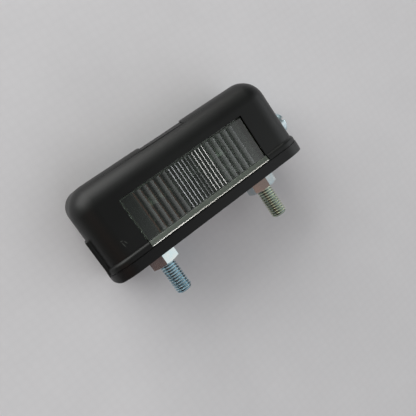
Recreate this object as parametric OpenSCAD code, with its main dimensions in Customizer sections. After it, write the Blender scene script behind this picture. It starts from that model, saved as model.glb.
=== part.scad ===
// Number plate lamp: a black moulded hood with a fluted clear lens, closed by one end screw on a
// base plate that is held by two studs. The lamp lies on its back: +X runs along the lamp, +Y runs
// from the mounting face up the hood, +Z points out of the window, and the origin is the middle of
// the mounting face, between the studs.

/* [Base plate] */
// Length of the base plate
base_len = 80.8; // [76:0.2:90]
// Thickness of the base plate
base_h = 3.8; // [3.2:0.1:5]
// Depth of the lamp in front of the stud line
front_z = 13.5; // [12.5:0.1:16]
// Depth of the lamp behind the stud line
back_z = 13.5; // [12.5:0.1:16]
// Corner radius at the front of the base, seen from above
base_front_r = 9; // [5:0.5:10]
// Corner radius at the back of the base, seen from above
base_back_r = 2; // [1:0.5:4]
// Rounding of the two lower ends of the base
base_end_r = 2.75; // [1:0.25:3]
// Height of the shadow gap between the base plate and the hood
seam_h = 0.4; // [0.2:0.05:0.6]
// Depth of the shadow gap
seam_deep = 0.5; // [0.2:0.05:0.7]
// Height of the locating rim inside the hood
rim_h = 2.4; // [1.5:0.1:4]
// Thickness of the locating rim
rim_wall = 1.4; // [1:0.1:2]

/* [Hood] */
// How far each end of the hood stands inside the base plate's end
end_setback = 0.95; // [0.9:0.05:2]
// Height of the hood above the mounting face
hood_top = 32; // [30:0.5:38]
// Wall thickness of the hood
hood_wall = 1.8; // [1.4:0.1:2.2]
// Rounding of the front edges of the hood
hood_front_r = 8.5; // [7:0.5:10]
// Rounding of the top corners at the back
hood_corner_r = 6; // [4:0.5:8]
// Rounding of the rear edges of the hood
hood_back_r = 1.5; // [0.5:0.25:2.5]
// How much wider each end is at the foot
hood_draft = 0.25; // [0:0.05:0.4]
// How far the foot lip stands in front of the hood
lip_out = 0.8; // [0.4:0.1:1.2]
// Height of the foot lip
lip_h = 2.2; // [1.6:0.1:3]
// Rounding of the upper edge of the lip
lip_r = 1.2; // [0.4:0.1:1.5]
// How far the screw's boss stands out
boss_out = 1.05; // [0.6:0.05:1.4]
// How far the left end pad stands out
pad_out = 0.7; // [0.4:0.05:1]
// Height of the top of the left end pad above the mounting face
pad_top = 16.6; // [15:0.1:19]
// Width of the left end pad
pad_w = 16; // [9:0.5:18]
// Width of the shallow notch in the top
notch_w = 16.6; // [10:0.2:24]
// Depth of the notch in the top
notch_deep = 0.6; // [0.3:0.1:0.8]
// How far the notch reaches forward from the back of the top
notch_len = 8; // [6:0.5:14]

/* [Window and lens] */
// Width of the window
window_w = 49.4; // [44:0.2:52]
// Height of the window's top edge above the mounting face
window_top = 21.7; // [19:0.1:22.5]
// Gap round the lens in the window
lens_gap = 0.25; // [0.1:0.05:0.5]
// How far the lens face lies behind the hood's front
lens_recess = 0.5; // [0.2:0.1:1]
// Thickness of the lens flange behind the window
lens_flange = 1.4; // [1:0.1:2]
// Width of the flange round the window
flange_w = 1.7; // [1.2:0.1:2.4]
// Thickness of the rubber seal on the flange
lens_seal_t = 0.8; // [0.5:0.1:1.2]
// Height of the lens foot, which carries the hood's lip across the window
lens_foot_h = 1.9; // [1.4:0.1:2.4]
// Pitch of the fine ribs in the middle of the lens
fine_pitch = 1.35; // [1:0.01:1.5]
// Number of fine ribs
fine_count = 11; // [5:2:13]
// Pitch of the broad flutes on each side
broad_pitch = 2.5; // [2:0.05:2.6]
// Number of broad flutes on each side
broad_count = 5; // [3:1:5]
// How far the fine ribs stand out
fine_high = 0.3; // [0.15:0.05:0.4]
// How far the broad flutes stand out
broad_high = 0.25; // [0.15:0.05:0.4]

/* [Studs and nuts] */
// Distance between the two studs
stud_pitch = 45; // [40:0.5:46]
// Diameter of the studs
stud_d = 6; // [5:0.5:6]
// How far the studs stand out of the mounting face
stud_out = 16.8; // [12:0.2:25]
// Across flats of the nuts and bolt heads
hex_af = 10; // [8:0.5:10]
// Thickness of the nuts
nut_h = 5; // [4:0.1:6]
// Height of the bolt heads
bolt_head_h = 4; // [3:0.1:5]
// Depth of the pocket that holds each bolt head
bolt_pocket = 2; // [1:0.1:2.4]
// Radial clearance of the studs in the base and the nuts
stud_clear = 0.05; // [0.02:0.01:0.08]
// Turn of the left nut about its stud
nut_turn_left = -6; // [-30:1:30]
// Turn of the right nut about its stud
nut_turn_right = 5; // [-30:1:30]

/* [Hood screw] */
// Height of the screw above the mounting face
screw_y = 11; // [10:0.1:12]
// Thread diameter of the hood screw
screw_d = 4; // [3:0.5:4]
// Diameter of the pan head
screw_head_d = 8; // [6:0.1:8.4]
// Height of the pan head
screw_head_h = 2.9; // [2:0.1:3.2]
// Width of the screwdriver slot
screw_slot_w = 1.1; // [0.8:0.1:1.4]
// Depth of the screwdriver slot
screw_slot_deep = 1.4; // [0.8:0.1:1.6]
// Turn of the slot about the screw
screw_turn = 15; // [-90:5:90]
// Length of the screw under the head
screw_len = 8; // [6:0.5:10]
// Outside diameter of the brass insert
insert_d = 5.6; // [5.2:0.1:6.4]
// Length of the brass insert
insert_len = 4; // [3:0.1:4.4]
// Thickness of the two lugs on the base
lug_t = 4.4; // [4.4:0.1:5.5]
// Width of the two lugs
lug_w = 8; // [7.6:0.2:8.6]
// Gap between the lugs and the hood's end walls
lug_gap = 0.15; // [0.1:0.05:0.3]

/* [Bulb and contacts] */
// Length of the festoon bulb over its points
bulb_len = 36; // [35:0.5:37]
// Diameter of the bulb's glass
bulb_d = 10.5; // [8:0.5:11]
// Wall of the bulb's glass
glass_wall = 0.6; // [0.4:0.1:0.8]
// Diameter of the bulb's caps
cap_d = 8.5; // [8:0.1:9]
// Height of the bulb's axis above the mounting face
bulb_y = 15.5; // [14.5:0.5:18]
// Height of the bulb's axis above the stud line
bulb_z = -1.5; // [-3:0.5:0]
// Thickness of the contact strip
strip_t = 0.5; // [0.4:0.1:0.6]
// Width of the contact strip
strip_w = 7; // [6:0.5:8]
// Height of the bosses that carry the contacts
boss_h = 1.2; // [0.8:0.1:2]
// Diameter of the contact rivets
rivet_d = 2.5; // [2:0.1:3]
// Thread diameter of the terminal screws
terminal_d = 3; // [2.5:0.1:3]
// Diameter of the cable hole's grommet bore
grommet_bore = 4; // [3:0.5:5]
// Diameter of the cable hole in the base
cable_hole_d = 8; // [7:0.5:9]

/* [Hidden] */
$fn = 48;
sliver = 0.01;
past = 1;
arc_steps = 4;
round_fn = 32;

// The hood's front stands back from the lip, and its inner face carries the lens seal
hood_front = front_z - lip_out;
hood_x = base_len / 2 - end_setback;
hood_round_z = hood_front - hood_front_r;
inner_x = hood_x - hood_wall;
inner_front = hood_front - hood_wall;
inner_back = -back_z + hood_wall;
lip_x = hood_x + lip_out;
pad_x = hood_x + pad_out;
boss_x = hood_x + boss_out;
lug_x = inner_x - lug_gap;

// The seal lies in a groove under the foot of the hood's wall
groove_deep = 1;
groove_w = 1.3;
groove_in = 1.2;
rim_gap = 0.2;

lens_half = window_w / 2 - lens_gap;
lens_top = window_top - lens_gap;
lens_face = hood_front - lens_recess;
flange_front = inner_front - lens_seal_t;
flange_back = flange_front - lens_flange;
fine_span = fine_pitch * fine_count;
broad_start = fine_span / 2 + broad_pitch / 2;
rib_foot = base_h + lens_foot_h + 0.2;
rib_top = lens_top - 0.5;

pocket_y = base_h - bolt_pocket;
pad_break = 0.4;
boss_rim = 0.2;
screw_edge_r = 1;
tip_len = 0.8;
tip_r = 1.4;
cap_face = bulb_len / 2 - tip_len;
cap_len = 5;
cap_seat = 2;
neck_r = cap_d / 2 - 0.6;
neck_gap = 0.05;
glass_end = cap_face - cap_len + cap_seat;
glass_shoulder = 3;
contact_y = base_h + boss_h;
bolt_space = 1.2;
upright_x = stud_pitch / 2 - hex_af / 2 - bolt_space;
step_low = 2.4;
step_high = 5.2;
lead_in_low = 4.4;
lead_in_high = 6.4;
lead_in_out = 1.6;
cap_edge = 1.2;
lead_wire_r = 0.25;
coil_r = 0.55;
coil_half = 5;
boss_w = 8;
grommet_flange = 1.3;
grommet_clear = 0.3;
hole_floor = 1;
rivet_head_r = 2.1;
rivet_head_h = 0.9;
terminal_head_r = 2.6;
terminal_head_h = 1.8;
head_gap = 0.5;
rivet_x = upright_x - strip_t / 2 - head_gap / 2 - rivet_head_r;
terminal_x = rivet_x - rivet_head_r - head_gap - terminal_head_r;
foot_x = terminal_x - terminal_head_r;
hook_out = 1.1;
hook_low = 11.8;
hook_high = 13.6;
hook_gap = 0.25;

// Points a shape's own Z up the hood, so that its XY plane is the lamp's plan
module up_hood(y = 0) {
    translate([0, y, 0]) rotate([-90, 0, 0]) children();
}

// Points a shape's own Z along the lamp
module along_lamp(x = 0, y = 0, z = 0) {
    translate([x, y, z]) rotate([0, 90, 0]) children();
}

// Plan of the base, with its own Y pointing to the back of the lamp
module plan(half, front, back, front_r, back_r, inset = 0) {
    fr = max(front_r - inset, 0.3);
    br = max(back_r - inset, 0.3);
    hx = half - inset;
    fz = front - inset;
    bz = back - inset;
    for (side = [-1, 1]) {
        translate([side * (hx - fr), -(fz - fr)]) circle(r = fr);
        translate([side * (hx - br), bz - br]) circle(r = br);
    }
    translate([-hx, -(fz - fr)]) square([2 * hx, fz - fr + bz - br]);
    translate([-(hx - fr), -fz]) square([2 * (hx - fr), fz]);
    translate([-(hx - br), 0]) square([2 * (hx - br), bz]);
}

module base_plan(inset = 0) {
    plan(base_len / 2, front_z, back_z, base_front_r, base_back_r, inset);
}

module hood_plan(inset = 0) {
    plan(lip_x, front_z, back_z, base_front_r, base_back_r, inset);
}

// A ring that follows the hood's foot, from one inset to another
module foot_ring(from, wide) {
    difference() {
        hood_plan(from);
        hood_plan(from + wide);
    }
}

// Front view of the base: a bar with its two lower ends rounded
module base_front_view() {
    hx = base_len / 2;
    for (side = [-1, 1])
        translate([side * (hx - base_end_r), base_end_r]) circle(r = base_end_r);
    translate([-(hx - base_end_r), 0]) square([2 * (hx - base_end_r), base_h]);
    translate([-hx, base_end_r]) square([2 * hx, base_h - base_end_r]);
}

module stud_places() {
    for (side = [-1, 1]) translate([side * stud_pitch / 2, 0, 0]) children();
}

module hex_prism(af, h) {
    cylinder(d = af / cos(30), h = h, $fn = 6);
}

// The screw lug on the right end and the hook lug on the left end
module lugs() {
    translate([lug_x - lug_t, base_h, -lug_w / 2]) cube([lug_t, screw_y + lug_w / 2 - base_h, lug_w]);
    translate([-lug_x, base_h, -lug_w / 2]) cube([lug_t, hook_high - base_h, lug_w]);
    translate([-lug_x - hook_out, 0, -lug_w / 2]) linear_extrude(lug_w)
        polygon([[0, hook_low], [hook_out, hook_low - hook_out], [hook_out + 1, hook_high],
            [0, hook_high]]);
}

module contact_bosses() {
    difference() {
        for (side = [-1, 1]) translate([side * (foot_x + upright_x) / 2, base_h, bulb_z])
            up_hood() linear_extrude(boss_h)
                square([upright_x - foot_x + strip_t, boss_w], center = true);
        up_hood(base_h - past)
            cylinder(r = cable_hole_d / 2 + grommet_flange + grommet_clear, h = boss_h + 2 * past);
    }
}

module base_plate() {
    color("#1c1d1d") difference() {
        union() {
            intersection() {
                up_hood() {
                    linear_extrude(base_h - seam_h) base_plan();
                    linear_extrude(base_h) base_plan(seam_deep);
                }
                translate([0, 0, -back_z - past])
                    linear_extrude(front_z + back_z + 2 * past) base_front_view();
            }
            up_hood(base_h) linear_extrude(rim_h) difference() {
                rim_plan(0);
                rim_plan(rim_wall);
            }
            lugs();
            contact_bosses();
        }
        up_hood(base_h - groove_deep)
            linear_extrude(groove_deep + sliver) foot_ring(groove_in, groove_w);
        stud_places() up_hood(-past) cylinder(d = stud_d + 2 * stud_clear, h = base_h + past);
        stud_places() up_hood(pocket_y) rotate(30) hex_prism(hex_af + 0.2, bolt_pocket + past);
        up_hood(-past) cylinder(d = cable_hole_d, h = base_h + 2 * past);
        along_lamp(lug_x - lug_t - past, screw_y) cylinder(d = insert_d, h = lug_t + 2 * past);
        for (side = [-1, 1]) {
            translate([side * rivet_x, hole_floor, bulb_z])
                up_hood() cylinder(d = rivet_d, h = base_h + boss_h);
            translate([side * terminal_x, hole_floor, bulb_z])
                up_hood() cylinder(d = terminal_d, h = base_h + boss_h);
        }
    }
}

// The locating rim stays behind the lens flange and inside the hood's walls
module rim_plan(inset) {
    plan(inner_x - rim_gap, flange_back - rim_gap, -inner_back - rim_gap, base_front_r - hood_wall,
        base_back_r, inset);
}

// The hood's solid form, or the space inside it when a wall is taken off
module hood_form(wall, foot) {
    side_x = hood_x - wall;
    foot_half = side_x + (wall > 0 ? 0 : hood_draft);
    back = back_z - wall;
    round_r = hood_front_r - wall;
    corner_r = hood_corner_r - wall;
    back_r = wall > 0 ? 0.4 : hood_back_r;
    hull() for (side = [-1, 1]) {
        for (step = [0 : arc_steps]) {
            a = 90 * step / arc_steps;
            inset = back_r * (1 - sin(a));
            z = -back + back_r * (1 - cos(a));
            translate([side * (hood_x - hood_corner_r), hood_top - hood_corner_r, z])
                cylinder(r = corner_r - inset, h = sliver);
            translate([side * (foot_half - inset) - sliver / 2, foot, z])
                cube([sliver, sliver, sliver]);
        }
        translate([side * (hood_x - hood_corner_r), hood_top - hood_corner_r, 0])
            cylinder(r = corner_r, h = sliver);
        translate([side * foot_half - sliver / 2, foot, 0]) cube([sliver, sliver, sliver]);
        translate([side * (hood_x - hood_front_r), hood_top - hood_front_r, hood_round_z])
            rotate([90, 0, 0]) sphere(r = round_r, $fn = round_fn);
        translate([side * (foot_half - round_r), foot, hood_round_z])
            up_hood() cylinder(r = round_r, h = sliver, $fn = round_fn);
    }
}

// The foot lip, with its upper edge rounded
module hood_lip() {
    hull() {
        up_hood(base_h) linear_extrude(sliver) hood_plan();
        for (step = [0 : arc_steps]) {
            a = 90 * step / arc_steps;
            up_hood(base_h + lip_h - lip_r + (lip_r - sliver) * sin(a))
                linear_extrude(sliver) hood_plan(lip_r * (1 - cos(a)));
        }
    }
}

// The flat pad outside the hook on the left end, with its upper edge broken
module end_pad() {
    translate([-pad_x, base_h, -pad_w / 2]) linear_extrude(pad_w)
        polygon([[0, 0], [past + pad_out, 0], [past + pad_out, pad_top - base_h],
            [pad_break, pad_top - base_h], [0, pad_top - base_h - pad_break]]);
}

// The round boss under the screw's head on the right end
module screw_boss() {
    along_lamp(hood_x - past, screw_y)
        cylinder(r = screw_head_d / 2 + boss_rim, h = boss_out + past);
}

module hood() {
    color("#232525") difference() {
        union() {
            hood_form(0, base_h);
            hood_lip();
            end_pad();
            screw_boss();
        }
        hood_form(hood_wall, base_h - past);
        translate([-window_w / 2, base_h - past, flange_back])
            cube([window_w, window_top - base_h + past, front_z]);
        translate([-notch_w / 2, hood_top - notch_deep, -back_z - past])
            cube([notch_w, notch_deep + past, past + notch_len]);
        along_lamp(inner_x - past, screw_y)
            cylinder(d = screw_d + 0.4, h = hood_wall + boss_out + 2 * past);
        translate([-inner_x - hook_out, hook_low - hook_out - hook_gap, -lug_w / 2 - hook_gap])
            cube([hook_out + past, hook_high - hook_low + hook_out + 2 * hook_gap,
                lug_w + 2 * hook_gap]);
    }
}

module rib(x, r, high) {
    translate([x, rib_foot, lens_face - r + high])
        up_hood() cylinder(r = r, h = rib_top - rib_foot, $fn = 24);
}

// Radius of a rib from its pitch and how far it stands out
function rib_r(pitch, high) = (pitch * pitch / 4 + high * high) / (2 * high);

module lens_ribs() {
    fine_r = rib_r(fine_pitch, fine_high);
    broad_r = rib_r(broad_pitch, broad_high);
    for (i = [0 : fine_count - 1]) rib((i - (fine_count - 1) / 2) * fine_pitch, fine_r, fine_high);
    for (side = [-1, 1]) for (i = [0 : broad_count - 1])
        rib(side * (broad_start + i * broad_pitch), broad_r, broad_high);
}

module lens() {
    color("#aab4b2", 0.5) union() {
        translate([-window_w / 2 - flange_w, base_h, flange_back])
            cube([window_w + 2 * flange_w, window_top + flange_w - base_h, lens_flange]);
        translate([-lens_half, base_h, flange_front - sliver])
            cube([2 * lens_half, lens_top - base_h, lens_face - flange_front + sliver]);
        translate([-lens_half, base_h, flange_front])
            cube([2 * lens_half, lens_foot_h, front_z - flange_front]);
        intersection() {
            lens_ribs();
            translate([-lens_half, base_h, flange_front]) cube([2 * lens_half, window_top, front_z]);
        }
    }
}

// A three sided rubber frame between the lens flange and the hood's front wall, pressed to the
// hood's rounding where the wall starts to turn
module lens_seal() {
    outer = window_w / 2 + flange_w;
    color("#303232") intersection() {
        translate([0, 0, flange_front]) linear_extrude(lens_seal_t) difference() {
            translate([-outer, base_h]) square([2 * outer, window_top + flange_w - base_h]);
            translate([-window_w / 2, base_h - past]) square([window_w, window_top - base_h + past]);
        }
        hood_form(hood_wall, base_h - past);
    }
}

module hood_seal() {
    color("#3a3c3c") up_hood(base_h - groove_deep)
        linear_extrude(groove_deep) foot_ring(groove_in, groove_w);
}

// A hexagon whose corners are turned off by a cone at one end or both
module hex_head(h, both) {
    corner = hex_af / cos(30) / 2;
    drop = 0.6;
    intersection() {
        hex_prism(hex_af, h);
        rotate_extrude() polygon([[0, 0], [both ? corner - 2 * drop + 0.4 : corner, 0],
            [corner, both ? drop / 2 : 0], [corner, h - drop / 2], [corner - 2 * drop + 0.4, h],
            [0, h]]);
    }
}

module mounting_bolt(side) {
    r = stud_d / 2;
    color("#a9b4b4") translate([side * stud_pitch / 2, 0, 0]) {
        up_hood(pocket_y) rotate(30) hex_head(bolt_head_h, false);
        up_hood(-stud_out) rotate_extrude()
            polygon([[0, 0], [r - 0.8, 0], [r, 0.8], [r, stud_out + pocket_y + sliver],
                [0, stud_out + pocket_y + sliver]]);
    }
}

module mounting_nut(side, turn) {
    color("#c3cccc") translate([side * stud_pitch / 2, -nut_h, 0]) up_hood() difference() {
        rotate(30 + turn + 60) hex_head(nut_h, true);
        translate([0, 0, -past]) cylinder(r = stud_d / 2 + stud_clear, h = nut_h + 2 * past);
    }
}

module hood_screw() {
    color("#b9c4c4") difference() {
        union() {
            along_lamp(boss_x, screw_y) rotate_extrude() {
                square([screw_head_d / 2 - screw_edge_r, screw_head_h]);
                square([screw_head_d / 2, screw_head_h - screw_edge_r]);
                translate([screw_head_d / 2 - screw_edge_r, screw_head_h - screw_edge_r])
                    circle(r = screw_edge_r);
            }
            along_lamp(boss_x - screw_len, screw_y) rotate_extrude()
                polygon([[0, 0], [screw_d / 2 - 0.6, 0], [screw_d / 2, 0.6],
                    [screw_d / 2, screw_len + sliver], [0, screw_len + sliver]]);
        }
        translate([boss_x + screw_head_h, screw_y, 0]) rotate([-screw_turn, 0, 0])
            cube([2 * screw_slot_deep, screw_slot_w, screw_head_d + past], center = true);
    }
}

module screw_insert() {
    color("#c9a24c") along_lamp(lug_x - insert_len, screw_y) difference() {
        cylinder(d = insert_d, h = insert_len);
        translate([0, 0, -past]) cylinder(r = screw_d / 2 + stud_clear, h = insert_len + 2 * past);
    }
}

// A rubber bush snapped into the cable hole, with a flange on each face of the base
module cable_grommet() {
    r = cable_hole_d / 2;
    bore = grommet_bore / 2;
    flange_h = 1.2;
    color("#2b2b2c") up_hood(-flange_h) rotate_extrude() polygon([[bore, 0],
        [r + grommet_flange * 0.5, 0], [r + grommet_flange, flange_h], [r, flange_h],
        [r, flange_h + base_h], [r + grommet_flange, flange_h + base_h],
        [r + grommet_flange * 0.5, base_h + 2 * flange_h], [bore, base_h + 2 * flange_h]]);
}

// A strip of sheet drawn along a path of points, with rounded bends
module bent_strip(path, t) {
    for (i = [0 : len(path) - 2]) {
        run = path[i + 1] - path[i];
        translate(path[i]) rotate(atan2(run[1], run[0])) translate([0, -t / 2]) square([norm(run), t]);
        if (i > 0) translate(path[i]) circle(d = t, $fn = 24);
    }
}

// One contact spring: a riveted foot, an upright that steps out past the bolt head, and a hole
// that takes the point of the bulb
module contact(side) {
    y0 = contact_y + strip_t / 2;
    face_x = cap_face + strip_t / 2;
    path = [[foot_x, y0], [upright_x, y0], [upright_x, y0 + step_low], [face_x, y0 + step_high],
        [face_x, bulb_y + lead_in_low], [face_x + lead_in_out, bulb_y + lead_in_high]];
    color("#b98a4a") mirror([side < 0 ? 1 : 0, 0, 0]) difference() {
        translate([0, 0, bulb_z - strip_w / 2]) linear_extrude(strip_w) bent_strip(path, strip_t);
        along_lamp(cap_face - past, bulb_y, bulb_z) cylinder(r = tip_r, h = strip_t + 2 * past);
        translate([rivet_x, y0 - past, bulb_z]) up_hood() cylinder(d = rivet_d, h = 2 * past);
        translate([terminal_x, y0 - past, bulb_z]) up_hood() cylinder(d = terminal_d, h = 2 * past);
    }
}

module contact_rivet(side) {
    seat = contact_y + strip_t - hole_floor;
    color("#a9864e") translate([side * rivet_x, hole_floor, bulb_z]) up_hood() rotate_extrude()
        polygon([[0, 0], [rivet_d / 2, 0], [rivet_d / 2, seat], [rivet_head_r, seat],
            [rivet_head_r * 0.8, seat + rivet_head_h * 0.7],
            [rivet_head_r * 0.4, seat + rivet_head_h], [0, seat + rivet_head_h]]);
}

module terminal_screw(side) {
    seat = contact_y + strip_t - hole_floor;
    color("#c2a35a") translate([side * terminal_x, hole_floor, bulb_z]) difference() {
        up_hood() rotate_extrude() polygon([[0, 0], [terminal_d / 2, 0], [terminal_d / 2, seat],
            [terminal_head_r, seat], [terminal_head_r, seat + terminal_head_h - 0.4],
            [terminal_head_r - 0.4, seat + terminal_head_h], [0, seat + terminal_head_h]]);
        translate([0, seat + terminal_head_h, 0])
            cube([2 * terminal_head_r + past, 1.6, 0.7], center = true);
    }
}

// Outer line of the glass, from the neck in one cap to the neck in the other
module bulb_half(r, cut) {
    s = glass_end - cap_seat;
    polygon([[0, -glass_end], [neck_r - cut, -glass_end], [neck_r - cut, -s],
        [r - 0.35 * glass_shoulder - cut, -s + 0.2 * glass_shoulder],
        [r - 0.1 * glass_shoulder - cut, -s + 0.6 * glass_shoulder],
        [r - cut, -s + 1.2 * glass_shoulder], [r - cut, s - 1.2 * glass_shoulder],
        [r - 0.1 * glass_shoulder - cut, s - 0.6 * glass_shoulder],
        [r - 0.35 * glass_shoulder - cut, s - 0.2 * glass_shoulder],
        [neck_r - cut, s], [neck_r - cut, glass_end], [0, glass_end]]);
}

module bulb_glass() {
    color("#dfe6e6", 0.4) along_lamp(0, bulb_y, bulb_z) rotate_extrude() difference() {
        bulb_half(bulb_d / 2, 0);
        bulb_half(bulb_d / 2, glass_wall);
    }
}

module bulb_cap(side) {
    r = cap_d / 2;
    color("#c7cbc9") translate([0, bulb_y, bulb_z]) rotate([0, side * 90, 0])
        translate([0, 0, cap_face - cap_len])
        rotate_extrude() polygon([[neck_r + neck_gap, 0], [r, 0], [r, cap_len - cap_edge],
            [r - cap_edge, cap_len], [tip_r, cap_len], [tip_r - 0.1, cap_len + tip_len * 0.6],
            [tip_r - 0.5, cap_len + tip_len], [0, cap_len + tip_len], [0, cap_seat],
            [neck_r + neck_gap, cap_seat]]);
}

// The lead wires from cap to cap, with the wound filament between them
module bulb_filament() {
    color("#8e8f90") along_lamp(-glass_end, bulb_y, bulb_z) rotate_extrude($fn = 24)
        polygon([[0, 0], [lead_wire_r, 0], [lead_wire_r, glass_end - coil_half],
            [coil_r, glass_end - coil_half], [coil_r, glass_end + coil_half],
            [lead_wire_r, glass_end + coil_half], [lead_wire_r, 2 * glass_end], [0, 2 * glass_end]]);
}

base_plate();
hood();
lens();
lens_seal();
hood_seal();
mounting_bolt(-1);  // bolt_left
mounting_bolt(1);  // bolt_right
mounting_nut(-1, nut_turn_left);  // nut_left
mounting_nut(1, nut_turn_right);  // nut_right
hood_screw();
screw_insert();
cable_grommet();
contact(-1);  // contact_left
contact(1);  // contact_right
contact_rivet(-1);  // contact_rivet_left
contact_rivet(1);  // contact_rivet_right
terminal_screw(-1);  // terminal_screw_left
terminal_screw(1);  // terminal_screw_right
bulb_glass();
bulb_cap(-1);  // bulb_cap_left
bulb_cap(1);  // bulb_cap_right
bulb_filament();
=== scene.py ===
# %% [markdown]
# # A number plate lamp
# This lamp is a black moulded hood with a fluted clear lens. It stands on a base plate with two
# studs, and here it lies on its back with the lens facing up. The solids come from a finished
# construction model, so this lesson is about surfaces: rounding, threads, flutes and materials.

# %% Load the frame
import math
import bmesh
import bpy
from mathutils import Matrix, Vector


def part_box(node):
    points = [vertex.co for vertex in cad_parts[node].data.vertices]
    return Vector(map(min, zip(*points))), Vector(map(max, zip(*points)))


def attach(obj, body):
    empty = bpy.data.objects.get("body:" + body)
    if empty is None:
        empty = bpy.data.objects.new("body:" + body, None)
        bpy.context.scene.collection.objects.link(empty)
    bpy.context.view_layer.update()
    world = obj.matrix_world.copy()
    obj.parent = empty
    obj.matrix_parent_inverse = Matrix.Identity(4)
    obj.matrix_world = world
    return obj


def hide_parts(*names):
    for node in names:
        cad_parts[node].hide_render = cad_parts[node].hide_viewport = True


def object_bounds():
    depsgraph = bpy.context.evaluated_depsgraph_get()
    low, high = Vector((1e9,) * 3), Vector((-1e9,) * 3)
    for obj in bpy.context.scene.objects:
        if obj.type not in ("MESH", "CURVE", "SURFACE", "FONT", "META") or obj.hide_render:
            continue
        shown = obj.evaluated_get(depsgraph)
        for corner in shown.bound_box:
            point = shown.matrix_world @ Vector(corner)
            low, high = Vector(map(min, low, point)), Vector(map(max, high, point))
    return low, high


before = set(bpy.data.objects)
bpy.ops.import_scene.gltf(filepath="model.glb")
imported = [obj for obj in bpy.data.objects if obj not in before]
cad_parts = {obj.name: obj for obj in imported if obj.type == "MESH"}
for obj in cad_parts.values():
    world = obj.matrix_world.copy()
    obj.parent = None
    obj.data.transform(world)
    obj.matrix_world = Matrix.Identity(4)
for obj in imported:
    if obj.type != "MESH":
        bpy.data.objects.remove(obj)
cad_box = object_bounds()
print("nodes in the frame:", len(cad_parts))

# %% [markdown]
# Lengths are thought of in millimetres and Blender works in metres, so a size in this script is
# turned to metres by `mm` when a mesh is made. The lamp's axes are: X along the lamp, Y from the
# mounting face up the hood, and Z out of the lens. It lies on its back, so the floor touches its
# lowest Z. New pieces have to fit the solids, so the main sizes are read from the nodes' boxes.

# %% Measure the nodes that new pieces are fitted to
mm = 0.001


def measured(node):
    """The two corners of a node's box, in millimetres to a thousandth."""
    return [[round(value / mm, 3) for value in corner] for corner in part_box(node)]


hood_low, hood_high = measured("hood")
flange_low, lens_high = measured("lens")
seal_low = measured("lens_seal")[0]
bolt_low, bolt_high = measured("bolt_right")
stud_x = (bolt_low[0] + bolt_high[0]) / 2
floor_z = cad_box[0][2]

lip_out = 0.8
front = hood_high[2] - lip_out
print("hood from", hood_low, "to", hood_high, "with its face at", front)
print("studs", 2 * stud_x, "mm apart")

# %% [markdown]
# ## Camera
# The lamp was seen from above and a little from its left end, turned so that it runs up to the
# right of the picture. Three vectors say this better than angles: where the eye is, which way it
# looks and which way is up in the picture. Cross products turn them into a clean rotation.

# %% Camera
eye = Vector((-38.16, 22.88, 142.91)) * mm
look = Vector((0.2596, -0.1443, -0.9549)).normalized()
picture_up = Vector((0.5782, 0.8152, 0.0340))
side = look.cross(picture_up).normalized()
true_up = side.cross(look).normalized()

camera_data = bpy.data.cameras.new("camera")
camera_data.sensor_width = 36
camera_data.lens = 36.41
camera_data.clip_start = 1 * mm
camera_data.clip_end = 10
camera = bpy.data.objects.new("camera", camera_data)
camera.matrix_world = Matrix.Translation(eye) @ Matrix((side, true_up, -look)).transposed().to_4x4()
bpy.context.collection.objects.link(camera)
bpy.context.scene.camera = camera
print("camera", round((eye - Vector(cad_box[1])).length / mm), "mm from the lamp's far corner")

# %% [markdown]
# ## Colours and nodes
# Colours are written as the hex values that a colour picker shows. Blender shades with linear
# light, so one function removes the sRGB curve. A second small function adds a shader node, gives
# its inputs their values and links, and returns it.

# %% Colour and node helpers
def linear(hex_colour):
    channels = [int(hex_colour[i:i + 2], 16) / 255 for i in (1, 3, 5)]
    curve = [c / 12.92 if c <= 0.04045 else ((c + 0.055) / 1.055) ** 2.4 for c in channels]
    return (*curve, 1)


def add_node(tree, kind, settings=None, **inputs):
    """A node with its settings. An input is named, or numbered as _0, and takes a value or a link."""
    node = tree.nodes.new(kind)
    for name, value in (settings or {}).items():
        setattr(node, name, value)
    for name, value in inputs.items():
        socket = node.inputs[int(name[1:])] if name[0] == "_" else node.inputs[name.replace("_", " ")]
        if isinstance(value, bpy.types.NodeSocket):
            tree.links.new(value, socket)
        else:
            socket.default_value = value
    return node


def new_material(name):
    material = bpy.data.materials.new(name)
    material.use_nodes = True
    tree = material.node_tree
    shader = tree.nodes["Principled BSDF"]
    place = add_node(tree, "ShaderNodeTexCoord").outputs["Object"]
    return material, tree, shader, place


print("black plastic in linear light:", [round(c, 4) for c in linear("#1a1c1c")[:3]])

# %% [markdown]
# ## The floor
# The lamp lies on a plain pale sheet with a faint weave. A single large face is enough, because
# the weave and the soft clouds in its tone come from two patterns that are added together. It
# hardly shines, so its colour is the picture's background and it keeps the lamp's soft shadow.

# %% Floor
floor_half = 3.0
weave_mm, cloud_mm = 3, 35


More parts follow.
